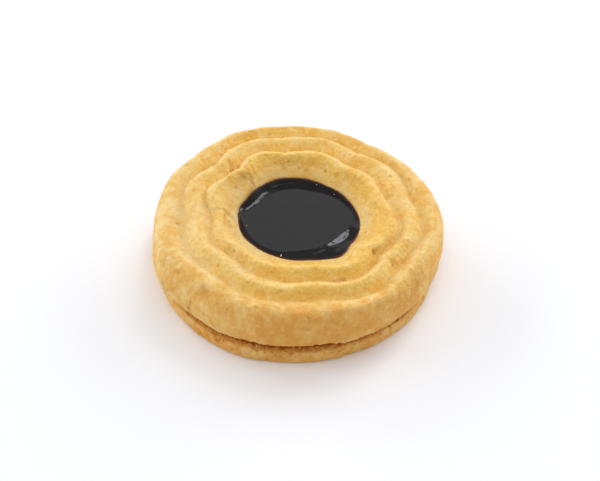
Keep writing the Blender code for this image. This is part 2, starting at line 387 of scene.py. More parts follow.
class PipedRing:
    """The ring in millimetres: its cross-section, and how that wanders round the cookie."""

    def __init__(self, settings, bottom):
        for name in (
            "hole_edge", "funnel_top", "inner_ridge", "inner_groove", "middle_ridge",
            "outer_groove", "outer_ridge", "belly", "lip", "recess",
        ):
            setattr(self, name, tuple(mm(value) for value in getattr(settings, name)))
        self.under = (mm(settings.under_radius), bottom)
        self.foot = (self.hole_edge[0], bottom)

    def section(self):
        """The cross-section, as a closed loop of (radius, height) from the hole's foot up."""
        section = straight(self.foot, self.hole_edge, HOLE_STEPS)
        section += straight(self.hole_edge, self.funnel_top, FUNNEL_STEPS)
        section += flank(self.funnel_top, self.inner_ridge)
        section += descent(self.inner_ridge, self.inner_groove)
        section += flank(self.inner_groove, self.middle_ridge)
        section += descent(self.middle_ridge, self.outer_groove)
        section += flank(self.outer_groove, self.outer_ridge)
        section += quarter(self.outer_ridge, self.belly, SHOULDER_STEPS, True)
        section += quarter(self.belly, self.lip, HEEL_STEPS, False)
        section += straight(self.lip, self.recess, RECESS_STEPS) + [self.recess]
        section += straight(self.under, self.foot, UNDER_STEPS)
        return section

    def slanted(self, radius, direction):
        """The direction to read the bends at, so that the rope's joint runs out at a slant."""
        near = stretch(direction, (JOINT_DIRECTION, JOINT_SLANT_SPREAD, 1.0))
        return (direction - JOINT_SLANT * near * (radius - self.inner_ridge[0])) % 360

    def ridge_radius(self, direction):
        """Radius of the inner ridge's crest, from the rope's bends and swellings."""
        for start, end in zip(BENDS, BENDS[1:] + BENDS[:1]):
            reach = (end[0] - start[0]) % 360
            along = (direction - start[0]) % 360
            if along < reach:
                share = along / reach
                swelling = start[2] * math.sin(math.pi * share)
                return start[1] + (end[1] - start[1]) * share + swelling
        return BENDS[0][1]

    def place(self, radius, height, direction):
        """Where a point of the plain cross-section comes in the uneven ring."""
        swell = self.ridge_radius(self.slanted(radius, direction)) - self.inner_ridge[0]
        bulge = stepped(radius, WALL_SHARE) * stretches(direction, WALL_BULGES)
        oval = leaning(direction, HOLE_LEAN) + leaning(direction, HOLE_OVAL, times=2)
        oval += stretches(direction, HOLE_BULGES)
        outward = stepped(radius, FOLLOW) * swell + bulge + stepped(radius, HOLE_SHARE) * oval
        outward -= stepped(radius, NARROWING) * stretch(direction, NARROW_STRETCH)
        for reach, shifts in SHIFTS:
            outward += stepped(radius, reach) * stretches(direction, shifts)
        top = max(0.0, (height - self.belly[1]) / (self.inner_ridge[1] - self.belly[1]))
        shoulder = stepped(radius, SHOULDER_REACH) * stretch(direction, SHOULDER_SHIFT)
        outward += min(1.0, SHOULDER_FULL * top) * shoulder
        upward = top * (LIFT_PER_SWELL * swell + LIFT_PER_BULGE * bulge)
        upward += lip_lift(radius, height, direction)
        for part, lift in LIFTS:
            upward += stepped(radius, part) * stretch(direction, lift) * min(1.0, top)
        return radius + outward, height + upward


# Where one stroke's end lies over the next: its edge as (radius, direction) rows, which side is
# the upper one (1 is anticlockwise), its height, how far round it is felt, how deep the crease
# beside it is, and how much painted shade darkens that crease.
LAPS = (
    (((12.4, 136.2), (13.65, 134.1), (14.8, 132.7), (16.3, 131.8), (18, 130.8)),
     1, 0.42, 16, 0.2, 0.3),
    (((18.9, 136.6), (19.4, 136.4), (21, 135.2), (22.4, 132.5)), 1, 0.38, 12, 0.2, 0.3),
    (((12.4, 188), (12.9, 181), (14, 176.2), (15.2, 172.6), (16.6, 168)),
     -1, 0.3, 14, 0.12, 0.1),
)
LAP_LEAST_HEIGHT = 11.0
LAP_FAR = 60.0  # a lap isn't felt further off than this, in degrees
LAP_END = 0.5  # over this length, in millimetres, a lap starts and ends
LAP_SHARPNESS = 0.55  # degrees
CREASE_PLACE = 1.8  # degrees from the upper stroke's edge, on the side of the lower one
CREASE_SPREAD = 1.7  # degrees


def lap_share(row, radius, direction):
    """How far a point lies on the upper side of a lap, in degrees, and how much its length there
    counts. A row of LAPS holds the edge of the stroke that lies on top."""
    edge = row[0]
    inside = held((radius - edge[0][0]) / LAP_END) * held((edge[-1][0] - radius) / LAP_END)
    return turn_between(direction, stepped(radius, edge)), inside


def lapped(radius, direction):
    """How high the laps between the strokes of the nozzle stand at a point, and their painted
    shade.
    """
    rise = shade = 0.0
    for row in LAPS:
        side, inside = lap_share(row, radius, direction)
        if inside == 0.0 or abs(side) > LAP_FAR:
            continue
        _, upper, height, spread, depth, dark = row
        over = side * upper
        step = 1.0 / (1.0 + math.exp(-over / LAP_SHARPNESS))
        rise += inside * height * step * math.exp(-((max(0.0, over) / spread) ** 2))
        crease = math.exp(-(((over + CREASE_PLACE) / CREASE_SPREAD) ** 2))
        rise -= inside * depth * crease
        shade += inside * dark * crease
    return rise, shade


def turned(section, steps, closed):
    """Turn a cross-section of (radius, height) round the Z axis into a mesh. Each point keeps how
    far along the cross-section it lies, in millimetres."""
    shell = bmesh.new()
    run = shell.verts.layers.float.new(RUN)
    verts = [shell.verts.new((radius, 0.0, height)) for radius, height in section]
    for before, vert in zip(verts, verts[1:]):
        vert[run] = before[run] + (vert.co - before.co).length
    pairs = zip(verts, verts[1:] + verts[:1] if closed else verts[1:])
    edges = [shell.edges.new(pair) for pair in pairs]
    bmesh.ops.spin(
        shell,
        geom=verts + edges,
        cent=(0.0, 0.0, 0.0),
        axis=(0.0, 0.0, 1.0),
        angle=math.tau,
        steps=steps,
        use_merge=True,
    )
    bmesh.ops.remove_doubles(shell, verts=shell.verts, dist=MERGE_DISTANCE)
    bmesh.ops.recalc_face_normals(shell, faces=shell.faces)
    return shell


def settle(shell, move, tints):
    """Move each point of a turned mesh with move(radius, height, direction), and keep for the
    materials the tints that each function gives for its place on the plain cross-section. The
    layer called flow keeps each point's place along the rope of dough and across it."""
    layers = {name: shell.verts.layers.float.new(name) for name in tints}
    flow = shell.verts.layers.float_vector.new(FLOW)
    run = shell.verts.layers.float[RUN]
    for vert in shell.verts:
        radius = math.hypot(vert.co.x, vert.co.y)
        direction = math.degrees(math.atan2(vert.co.y, vert.co.x)) % 360
        for name, tint in tints.items():
            vert[layers[name]] = tint(radius, vert.co.z, direction)
        vert[flow] = at(direction, FLOW_RADIUS, vert[run])
        vert.co = at(direction, *move(radius, vert.co.z, direction))
    return layers


def sway(shell, shown):
    """Let the ridges wander a little inwards and outwards."""
    for vert in shell.verts:
        weight = shown(vert.co)
        if weight > 0.0:
            outward = Vector((vert.co.x, vert.co.y, 0.0)).normalized()
            for size, amount in SWAYS:
                vert.co += outward * weight * amount * noise.noise(vert.co / size)


def roughen(shell, lumps, streaks, shown):
    """Push the points along their normals by noise. The lumps are (size, height), and the
    streaks, which run across the rope of dough, are (width, reach, height). shown(point) says
    how much of it is felt at a point."""
    shell.normal_update()
    flow = shell.verts.layers.float_vector[FLOW]
    moved = []
    for vert in shell.verts:
        weight = shown(vert.co)
        rise = 0.0
        if weight > 0.0:
            for number, (size, height) in enumerate(lumps):
                above = Vector((0.0, 0.0, NOISE_APART * number))
                rise += height * noise.noise(vert.co / size + above)
            for width, reach, height in streaks:
                along = vert[flow]
                rise += height * noise.noise((along.x / width, along.y / width, along.z / reach))
        moved.append(vert.co + vert.normal * rise * weight)
    for vert, co in zip(shell.verts, moved):
        vert.co = co


PRESS_REACH = 2.5  # a stroke is felt this many of its widths away


class Marker:
    """Presses pits, creases and grains into a mesh, and tints them: painted shade in the hollows,
    toast on broad patches, and paler grains.
    """

    def __init__(self, shell, tint):
        shell.verts.ensure_lookup_table()
        shell.normal_update()
        self.shell = shell
        self.tint = tint
        self.tree = kdtree.KDTree(len(shell.verts))
        for vert in shell.verts:
            self.tree.insert(vert.co, vert.index)
        self.tree.balance()

    def press(self, start, end, width, depth, shade):
        """Press a stroke from start to end into the surface, as deep as depth, or raise it where
        depth is less than 0. It is as wide as width to each side."""
        start, end = self.tree.find(start)[0], self.tree.find(end)[0]
        along = end - start
        middle = (start + end) / 2
        for co, index, _ in self.tree.find_range(middle, along.length / 2 + PRESS_REACH * width):
            share = (co - start).dot(along) / along.length_squared if along.length > 0 else 0.0
            nearest = start + along * held(share)
            felt = math.exp(-(((co - nearest).length / width) ** 2))
            vert = self.shell.verts[index]
            vert.co -= vert.normal * depth * felt
            # the tint is painted shade where the stroke is pressed in, toast on a flat patch, and
            # paler where shade is below 0
            vert[self.tint] += shade * felt

    def scatter(self, rng, count, width, depth, shade, shown):
        """Press random marks. width, depth and shade are (least, most)."""
        left = count
        while left:
            vert = self.shell.verts[rng.randrange(len(self.shell.verts))]
            size, much, dark = (rng.uniform(*pair) for pair in (width, depth, shade))
            if shown(vert.co) < 1.0:
                continue
            self.press(vert.co, vert.co, size, much, dark)
            left -= 1


# ---------- Materials


MIX_SOCKETS = (0, 6, 7)  # the places of the Mix node's factor and of its two colours
MIX_RESULT = 2


def give(tree, node, sockets):
    """Give sockets of a node a value, or join them to an output."""
    for name, value in sockets.items():
        if isinstance(value, bpy.types.NodeSocket):
            tree.links.new(value, node.inputs[name])
        else:
            node.inputs[name].default_value = value


def add(tree, kind, sockets=None, **properties):
    """Add a node, set its properties, and give its sockets a value or an output."""
    node = tree.nodes.new(kind)
    for name, value in properties.items():
        setattr(node, name, value)
    give(tree, node, sockets or {})
    return node


def mixed(tree, factor, first, second):
    """The colour between two colours or colour outputs."""
    sockets = dict(zip(MIX_SOCKETS, (factor, first, second)))
    return add(tree, "ShaderNodeMix", sockets, data_type="RGBA").outputs[MIX_RESULT]


def maths(tree, operation, *values, clamp=False):
    """The output of a Math node on values or outputs."""
    sockets = dict(enumerate(values))
    return add(tree, "ShaderNodeMath", sockets, operation=operation, use_clamp=clamp).outputs[0]


def ranged(tree, value, low, high, least=0.0, most=1.0):
    """A value read from low to high as least to most, held at both ends."""
    sockets = {"Value": value, "From Min": low, "From Max": high, "To Min": least, "To Max": most}
    return add(tree, "ShaderNodeMapRange", sockets, interpolation_type="SMOOTHSTEP").outputs[0]


def speckled(tree, where, size, detail, seed):
    """Noise of a size in millimetres on a surface, as a value round 0.5."""
    sockets = {"Vector": where, "W": seed, "Scale": 1.0 / (size * MM), "Detail": detail}
    return add(tree, "ShaderNodeTexNoise", sockets, noise_dimensions="4D").outputs[0]


MOTTLE_MASKS = ("Blotch", "Streak", "Freckle", "Flake", "Grain")
# Noises of the dough: size in millimetres, detail and seed.
FINE_CRUMB = (0.3, 3, 1)
GRAINY_CRUMB = (0.75, 2, 2)
BROAD_BLOTCH = (4.5, 3, 3)
SMALL_BLOTCH = (1.5, 3, 4)
# The same for the masks made from one noise each, and the values of it that are read as 0 and 1.
SPECKLES = {
    "Freckle": ((0.8, 3, 5), (0.58, 0.72)),
    "Flake": ((0.5, 2, 6), (0.62, 0.76)),
    "Grain": ((0.32, 2, 9), (0.35, 0.65)),
}
BLOTCH_RANGE = (0.38, 0.62)
STREAK_RANGE = (0.32, 0.68)
STREAK_WIDTH = 0.8  # in the millimetres of the flow layer
STREAK_STRETCH = 0.28
STREAK_DETAIL = 3.0
CRUMB_CELL = 0.8
GRAINY_PART = 0.8  # of the relief, against the fine crumb


def new_group(name, inputs, outputs):
    """A shader node group, the outputs of its input node, and its output node."""
    tree = bpy.data.node_groups.new(name, "ShaderNodeTree")
    for socket, kind in inputs.items():
        tree.interface.new_socket(name=socket, in_out="INPUT", socket_type=kind)
    for socket, kind in outputs.items():
        tree.interface.new_socket(name=socket, in_out="OUTPUT", socket_type=kind)
    return tree, tree.nodes.new("NodeGroupInput").outputs, tree.nodes.new("NodeGroupOutput")


def crumb_relief_group():
    """Height of the fine crumb of baked dough. Coarse says how open the crumb is."""
    name = "Crumb Relief"
    if name in bpy.data.node_groups:
        return bpy.data.node_groups[name]
    tree, given, end = new_group(
        name,
        {"Vector": "NodeSocketVector", "Coarse": "NodeSocketFloat"},
        {"Height": "NodeSocketFloat"},
    )
    where = given["Vector"]
    fine = speckled(tree, where, *FINE_CRUMB)
    grainy = speckled(tree, where, *GRAINY_CRUMB)
    sockets = {"Vector": where, "Scale": 1.0 / (CRUMB_CELL * MM)}
    cells = add(tree, "ShaderNodeTexVoronoi", sockets).outputs["Distance"]
    coarse = maths(tree, "MULTIPLY", given["Coarse"], cells)
    height = maths(tree, "MULTIPLY_ADD", grainy, GRAINY_PART, fine)
    give(tree, end, {"Height": maths(tree, "SUBTRACT", height, coarse)})
    return tree


def mottle_group():
    """Blotches, streaks across the rope, toasted freckles, pale flakes and fine grain of baked
    dough, as masks."""
    name = "Baked Mottle"
    if name in bpy.data.node_groups:
        return bpy.data.node_groups[name]
    tree, given, end = new_group(
        name,
        {"Vector": "NodeSocketVector", "Flow": "NodeSocketVector"},
        {mask: "NodeSocketFloat" for mask in MOTTLE_MASKS},
    )
    where = given["Vector"]
    broad = speckled(tree, where, *BROAD_BLOTCH)
    small = speckled(tree, where, *SMALL_BLOTCH)
    blotch = maths(tree, "MULTIPLY_ADD", broad, 0.5, maths(tree, "MULTIPLY", small, 0.5))
    sockets = {"Vector": given["Flow"], "Scale": (1.0, 1.0, STREAK_STRETCH)}
    drawn = add(tree, "ShaderNodeMapping", sockets).outputs["Vector"]
    sockets = {"Vector": drawn, "Scale": 1.0 / STREAK_WIDTH, "Detail": STREAK_DETAIL}
    streak = add(tree, "ShaderNodeTexNoise", sockets).outputs[0]
    masks = {
        mask: ranged(tree, speckled(tree, where, *grains), *limits)
        for mask, (grains, limits) in SPECKLES.items()
    }
    masks["Blotch"] = ranged(tree, blotch, *BLOTCH_RANGE)
    masks["Streak"] = ranged(tree, streak, *STREAK_RANGE)
    give(tree, end, masks)
    return tree


def attribute(tree, name):
    """A tint that the mesh carries."""
    return add(tree, "ShaderNodeAttribute", attribute_name=name).outputs["Fac"]


def new_material(name):
    """A material with nodes, its tree and its Principled BSDF."""
    material = bpy.data.materials.new(name)
    material.use_nodes = True
    tree = material.node_tree
    return material, tree, tree.nodes["Principled BSDF"]


STREAK_PART = 0.15  # of the mottle, against the blotches
CREST_MOTTLE = 0.6  # how much of the mottle shows on the crests and on the wall
WALL_MOTTLE = 0.75
GRAIN_TOAST = 0.13  # how brown the grains and freckles are, and how pale the flakes
FRECKLE_TOAST = 0.27
FLAKE_PALE = 0.34
DOUGH_ROUGHNESS = (0.86, 0.7)
DOUGH_SPECULAR = 0.3
CRUMB_HEIGHT = 0.2


def dough_material(name, settings, coarse, bump):
    """Baked shortbread: gold crests, pale grooves, a browner wall, streaks, freckles and crumb,
    with the painted light and shade that the mesh's tints carry.
    """
    material, tree, shader = new_material(name)
    where = add(tree, "ShaderNodeTexCoord").outputs["Object"]
    flow = add(tree, "ShaderNodeAttribute", attribute_name=FLOW).outputs["Vector"]
    sockets = {"Vector": where, "Flow": flow}
    mottle = add(tree, "ShaderNodeGroup", sockets, node_tree=mottle_group()).outputs
    sockets = {"Vector": where, "Coarse": coarse}
    relief = add(tree, "ShaderNodeGroup", sockets, node_tree=crumb_relief_group()).outputs
    tones = ("pale", "gold", "wall", "brown", "cream", "stain_and_shade")
    pale, gold, wall, brown, cream, stain_and_shade = ((*getattr(settings, tone), 1.0) for tone in tones)
    blotch, streak, freckle, flake, grain = (mottle[mask] for mask in MOTTLE_MASKS)
    blotches = maths(tree, "MULTIPLY", blotch, 1.0 - STREAK_PART)
    mean = maths(tree, "MULTIPLY_ADD", streak, STREAK_PART, blotches)
    uneven = maths(tree, "SUBTRACT", mean, 0.5)
    tints = ("crest", "wall", "toast_and_shade", "stain_and_shade")
    crest, side, toast_and_shade, stained_and_shaded = (attribute(tree, tint) for tint in tints)
    gold_share = maths(tree, "MULTIPLY_ADD", uneven, CREST_MOTTLE, crest, clamp=True)
    tone = mixed(tree, gold_share, pale, gold)
    browned = maths(tree, "MULTIPLY_ADD", uneven, WALL_MOTTLE, side, clamp=True)
    tone = mixed(tree, browned, tone, wall)
    freckles = maths(tree, "MULTIPLY", freckle, FRECKLE_TOAST)
    speck = maths(tree, "MULTIPLY_ADD", grain, GRAIN_TOAST, freckles)
    tone = mixed(tree, maths(tree, "ADD", speck, toast_and_shade, clamp=True), tone, brown)
    unlit = maths(tree, "MULTIPLY", toast_and_shade, -1.0)
    light = maths(tree, "MULTIPLY_ADD", flake, FLAKE_PALE, unlit, clamp=True)
    tone = mixed(tree, light, tone, cream)
    tone = mixed(tree, stained_and_shaded, tone, stain_and_shade)
    sockets = {"Height": relief["Height"], "Strength": bump, "Distance": CRUMB_HEIGHT * MM}
    finish = {
        "Base Color": tone,
        "Roughness": ranged(tree, blotch, 0.0, 1.0, *DOUGH_ROUGHNESS),
        "Normal": add(tree, "ShaderNodeBump", sockets).outputs["Normal"],
        "Specular IOR Level": DOUGH_SPECULAR,
    }
    give(tree, shader, finish)
    return material


# Noises of the jam: size in millimetres, detail and seed.
JAM_CLOUD = (2.4, 2, 7)
JAM_RIPPLE = (0.8, 2, 8)
JAM_CLOUD_RANGE = (0.35, 0.65)
JAM_SHEEN_RANGE = (0.3, 0.7)
JAM_ROUGHNESS = (0.08, 0.14)
JAM_RIPPLE_STRENGTH = 0.1
JAM_RIPPLE_HEIGHT = 0.1
JAM_IOR = 1.45


def jam_material(settings):
    """Set dark jam: glossy, almost black, and red-brown where it is thin at its edge."""
    material, tree, shader = new_material("jam")
    where = add(tree, "ShaderNodeTexCoord").outputs["Object"]
    body, cloudy, thin = ((*getattr(settings, tone), 1.0) for tone in ("body", "cloudy", "thin"))
    cloud = speckled(tree, where, *JAM_CLOUD)
    tone = mixed(tree, ranged(tree, cloud, *JAM_CLOUD_RANGE), body, cloudy)
    tone = mixed(tree, attribute(tree, "thin"), tone, thin)
    sockets = {
        "Height": speckled(tree, where, *JAM_RIPPLE),
        "Strength": JAM_RIPPLE_STRENGTH,
        "Distance": JAM_RIPPLE_HEIGHT * MM,
    }
    finish = {
        "Base Color": tone,
        "Roughness": ranged(tree, cloud, *JAM_SHEEN_RANGE, *JAM_ROUGHNESS),
        "Normal": add(tree, "ShaderNodeBump", sockets).outputs["Normal"],
        "IOR": JAM_IOR,
    }
    give(tree, shader, finish)
    return material


# ---------- Pieces


def finish_piece(name, shell, material, node=None):
    """Put a mesh that was made in millimetres in the scene, riding on the cookie's body."""
    bmesh.ops.scale(shell, vec=(MM, MM, MM), verts=shell.verts)
    bmesh.ops.recalc_face_normals(shell, faces=shell.faces)
    mesh = bpy.data.meshes.new(name)
    shell.to_mesh(mesh)
    shell.free()
    mesh.materials.append(material)
    mesh.shade_smooth()
    piece = bpy.data.objects.new(name, mesh)
    bpy.context.scene.collection.objects.link(piece)
    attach(piece, BODY)
    if node:
        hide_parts(node)
    return piece


# Strokes pressed into the ring: where they start and end, as (direction, radius, height), then
# how wide and deep they are, raised where depth is less than 0, and the painted shade in their
# hollows, which makes the raised ones paler where it is below 0.
RING_STROKES = (
    # A fine crease beside the rope's joint.
    ((125.3, 15.4, 13.6), (125, 16.6, 14.8), 0.24, 0.16, 0.16),
    # The notches at the bend at the front right, between two strokes on each ridge.
    ((321.3, 18.3, 14.6), (322.4, 19.2, 13.4), 0.4, 0.3, 0.3),
    ((325.3, 19.9, 14.2), (322.6, 19.2, 13.4), 0.35, 0.25, 0.25),
    ((321.5, 22.6, 14.2), (322.3, 24, 13), 0.6, 0.22, 0.08),
    # A fold where the inner ridge bulges over the groove at the front.
    ((290.5, 21, 13.1), (296.5, 21.3, 13.1), 0.28, 0.34, 0.4),
    # A dimple on the inner slope at the left, and the notch in the ridge behind it.
    ((184.5, 14.9, 13.1), (189, 14.2, 12.8), 0.65, 0.34, 0.14),
    ((178, 15.3, 14.4), (178.5, 16.4, 14.6), 0.4, 0.22, 0.12),
    # A crack and dents low on the wall at the front left.
    ((224.4, 29.5, 8.8), (222.8, 29.5, 6.2), 0.26, 0.34, 0.45),
    ((223, 29.6, 6.4), (225.5, 29.2, 5), 0.26, 0.28, 0.35),
    ((214, 29.7, 8), (210, 29.9, 6.6), 0.35, 0.22, 0.35),
    ((206.5, 30, 8.4), (208.5, 30, 6.4), 0.3, 0.22, 0.4),
    ((228, 28, 12.9), (230.5, 28.2, 12.5), 0.8, 0.3, 0.32),
    # A torn edge above the outer groove at the left, and a lifted crumb edge at the front.
    ((219.5, 24.8, 12.8), (226.5, 24.8, 12.8), 0.3, -0.22, -0.35),
    ((287.5, 29.4, 5.2), (294, 29.4, 5.6), 0.3, -0.25, -0.2),
)
# Single pits in the ring, as direction, radius, height, width, depth and the painted shade in them.
RING_PITS = (
    (66.5, 15.2, 13, 0.28, 0.28, 0.6), (103, 26.5, 13.1, 0.28, 0.24, 0.55),
    (25, 25.8, 13.2, 0.28, 0.26, 0.7), (21.5, 25.4, 13, 0.22, 0.2, 0.55),
    (2, 15.2, 12.9, 0.22, 0.18, 0.5), (355, 18, 14.9, 0.25, 0.2, 0.5),
    (136.4, 19.5, 13.2, 0.28, 0.35, 0.55), (184.5, 24.2, 12.8, 0.45, 0.22, 0.4),
    (224.5, 22.1, 13.9, 0.25, 0.3, 0.8), (215, 28.4, 12.6, 0.4, 0.22, 0.35),
    (215, 29.7, 8.9, 0.25, 0.25, 0.7), (222.5, 17.6, 14.4, 0.28, 0.2, 0.45),
    (262.5, 22.9, 13.8, 0.28, 0.16, 0.45), (293.7, 21.2, 13, 0.25, 0.25, 0.45),
    (322.3, 24.05, 13, 0.25, 0.28, 0.6), (207, 30.3, 7.2, 0.28, 0.24, 0.6),
    (164.5, 22.1, 14.3, 0.26, 0.14, 0.4), (146.5, 15.6, 12.9, 0.35, 0.16, 0.35),
    (100.5, 15.1, 12.8, 0.3, 0.2, 0.5), (277, 29.3, 5, 0.35, 0.22, 0.5),
)
# Broad toasted patches on the ring, as direction, radius, height, width and shade.
RING_PATCHES = (
    (134.5, 16.2, 13.9, 1.3, 0.3), (325, 29, 11.1, 1.8, 0.26), (320, 29.4, 9.7, 1.8, 0.22),
    (313.5, 29.4, 10, 1.8, 0.18), (265, 28.8, 11.3, 2.2, 0.14), (239, 28.4, 12.2, 2, 0.16),
    (184.5, 24.4, 12.8, 1.2, 0.14), (75, 16.6, 14, 1.6, 0.04), (306, 29.7, 8.9, 1.8, 0.16),
    (229, 28, 12.7, 1.4, 0.2), (222.5, 29.5, 6, 1.6, 0.18), (208, 30, 6.5, 1.6, 0.2),
    (95, 16.3, 14, 1.5, 0.05), (322, 29.7, 13, 1.4, 0.18), (350, 27.6, 13.2, 1.6, 0.12),
    (322.5, 19.2, 13.6, 0.9, 0.22), (144, 15.6, 13.2, 1.2, 0.14), (338, 19, 14.6, 1.4, 0.12),
    (283, 28.6, 11.6, 1.8, 0.16), (298, 22.6, 14, 1.2, 0.12), (133, 20.3, 13.7, 1.3, 0.2),
)
RING_LUMPS = ((9, 0.25), (3.6, 0.12), (1.6, 0.06), (0.8, 0.04), (0.5, 0.02))
RING_STREAKS = ((1.3, 5, 0.03), (0.6, 2.4, 0.02))
# How gold the dough is, by radius, and how brown the wall is, by height.
CREST_TINT = (
    (12.35, 0.6), (13.6, 0.62), (15.3, 0.72), (16.4, 0.9), (17.2, 0.85), (18.6, 0.65), (20.3, 0.65),
    (22.6, 0.6), (25, 0.6), (29.6, 0.65),
)
WALL_TINT = ((3.2, 0.72), (5, 0.8), (7, 0.88), (10.5, 0.86), (12.4, 0.74), (13.4, 0.58))
WALL_START = ((25.2, 0), (26.4, 0.6), (27.1, 1))  # where the browner dough begins, by radius
# How gold the dough is, by direction: paler at the left and golder at the front, partly its own
# colour and partly painted light and shade, where the lamps light the left most and the front
# least.
CREST_GOLD_AND_PAINTED_LIGHT = ((0, 1.05), (45, 0.95), (90, 1.15), (135, 1), (180, 0.72), (225, 1), (270, 1.25),
               (315, 1.15), (360, 1.05))
# Which way the sides of the ridges face, by radius: 1 is outwards and -1 inwards.
FACING = (
    (12.35, -0.5), (14.2, -0.3), (15.3, -0.2), (16.2, -0.55), (17.1, -0.2), (17.8, 0),
    (18.8, 1), (19.6, 0.7), (20.1, 0.2), (20.6, -0.6), (21.6, -0.5), (22.5, 0),
    (23.4, 1), (24.2, 0.7), (24.8, 0.2), (25.3, -0.5), (26, -0.7), (26.6, -0.6), (27.1, 0),
)
PAINTED_BACK_LIGHT = 0.27  # painted light and shade: how much paler the sides that face the back lamps are, and golder those in front
# How brown the wall is, by direction: most at the front, and paler where it faces sideways.
WALL_SHADE = ((0, 0.45), (45, 0.6), (180, 0.32), (228, 0.46), (255, 1), (290, 1),
              (318, 0.65), (360, 0.45))
LIP_PAINTED_SHADE = ((3.2, 0.95), (3.36, 0.85), (3.42, 0.3), (3.7, 0))  # painted shade behind the lip, by height

HOLE_SIDE = 20.0  # within this radius the crust relief ends at the jam, and else at the seam
HOLE_RELIEF = (11.8, 0.5)  # the height where it begins, and over how much height it grows
WALL_RELIEF = (3.2, 0.3)
# How much the ridges wander, by radius and by height.
SWAY_RADII = ((14, 0), (16.5, 1))
SWAY_HEIGHTS = ((8, 0.25), (12.5, 1))


def ring_shown(co):
    """How much crust relief a point of the ring takes: none underneath and inside the jam."""
    start, growth = HOLE_RELIEF if math.hypot(co.x, co.y) < HOLE_SIDE else WALL_RELIEF
    return held((co.z - start) / growth)


def ridges_shown(co):
    """How much a point of the ring wanders with the ridges: not at the hole and low on the wall."""
    return stepped(math.hypot(co.x, co.y), SWAY_RADII) * stepped(co.z, SWAY_HEIGHTS)


STAIN_TURN = 5.0  # the stain line and the painted shade are strongest this many degrees past the back
STAIN_WIDTH = 0.38  # of the line along the hole's edge
STAIN_DEPTH = 1.0  # it ends this far below the edge
# Painted shade over the slope round the jam, by radius, and its share all round; the back, which
# faces away from the lamps behind, has up to 1 more.
FUNNEL_PAINTED_SHADE = ((12.35, 0.17), (14, 0.13), (15, 0.06), (15.8, 0))
PAINTED_SHADE_ALL_ROUND = 0.7


def jam_stain_and_shade(ring, radius, height, direction):
    """How far the dough darkens next to the jam: a thin stain line along the hole's edge at the
    back, and painted shade over the slope round it."""
    if height < ring.hole_edge[1] - STAIN_DEPTH:
        return 0.0
    back = max(0.0, math.sin(math.radians(direction - STAIN_TURN)))
    edge = math.exp(-(((radius - ring.hole_edge[0]) / STAIN_WIDTH) ** 2))
    return math.sqrt(back) * edge + (PAINTED_SHADE_ALL_ROUND + back) * stepped(radius, FUNNEL_PAINTED_SHADE)


# Random marks: the least and the most width, depth and shade. A depth below 0 is a raised grain.
# The shade is painted shade in the pits, and makes the raised grains paler where it is below 0.
RING_PIT_SIZES = ((0.18, 0.34), (0.04, 0.14), (0.05, 0.45))
RING_BEAD_SIZES = ((0.18, 0.34), (-0.16, -0.05), (-0.4, 0.0))
BASE_PIT_SIZES = ((0.20, 0.42), (0.10, 0.35), (0.05, 0.35))
RING_SEED = 41
BASE_SEED = 52
CRUMB_SEED = 63
# How open the crumb is and how strong its bump, on each piece.
RING_CRUMB = (0.6, 1.0)
BASE_CRUMB = (1.0, 0.9)
LOOSE_CRUMB = (1.0, 0.6)


class COOKIE_OT_ring(bpy.types.Operator):
    """Build the piped ring, with its ridges, its rope joint, pits and toasted patches"""

    bl_idname = "cookie.ring"
    bl_label = "Piped Ring"

    def execute(self, context):
        scene = context.scene
        settings = scene.cookie_ring
        bottom = mm(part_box("base_biscuit")[1].z)
        ring = PipedRing(settings, bottom)
        shell = turned(ring.section(), settings.stations, True)

        def lapping(radius, height, direction):
            """A point's place in the uneven ring with its laps, and the painted shade of its
            crease.
            """
            radius, height = ring.place(radius, height, direction)
            rise, shade = lapped(radius, direction) if height > LAP_LEAST_HEIGHT else (0.0, 0.0)
            return radius, height + rise, shade

        def crest(radius, height, direction):
            share = stepped(radius, CREST_TINT) * stepped(direction, CREST_GOLD_AND_PAINTED_LIGHT)
            # the sides that face the lamps at the back are painted paler and those facing the front
            # golder: painted light and shade
            backwards = stepped(radius, FACING) * math.sin(math.radians(direction))
            return share - PAINTED_BACK_LIGHT * backwards

        def wall(radius, height, direction):
            shade = stepped(radius, WALL_START) * stepped(direction, WALL_SHADE)
            return stepped(height, WALL_TINT) * shade

        # painted shade in the creases of the laps and in the recess behind the lip
        def toast_and_shade(radius, height, direction):
            shade_behind_lip = stepped(height, LIP_PAINTED_SHADE) if radius > ring.under[0] else 0.0
            return lapping(radius, height, direction)[2] + shade_behind_lip

        tints = {
            "crest": crest,
            "wall": wall,
            "toast_and_shade": toast_and_shade,
            "stain_and_shade": lambda *spot: jam_stain_and_shade(ring, *spot),
        }
        layers = settle(shell, lambda *spot: lapping(*spot)[:2], tints)
        sway(shell, ridges_shown)
        roughen(shell, RING_LUMPS, RING_STREAKS, ring_shown)
        marker = Marker(shell, layers["toast_and_shade"])
        for start, end, width, depth, shade in RING_STROKES:
            marker.press(at(*start), at(*end), width, depth, shade)
        for direction, radius, height, width, depth, shade in RING_PITS:
            spot = at(direction, radius, height)
            marker.press(spot, spot, width, depth, shade)
        for direction, radius, height, width, shade in RING_PATCHES:
            spot = at(direction, radius, height)
            marker.press(spot, spot, width, 0.0, shade)
        rng = random.Random(RING_SEED)
        marker.scatter(rng, settings.pits, *RING_PIT_SIZES, ring_shown)
        marker.scatter(rng, settings.beads, *RING_BEAD_SIZES, ring_shown)
        material = dough_material("ring_dough", scene.cookie_dough, *RING_CRUMB)
        finish_piece("cookie_ring", shell, material, "ridged_ring")
        return {"FINISHED"}


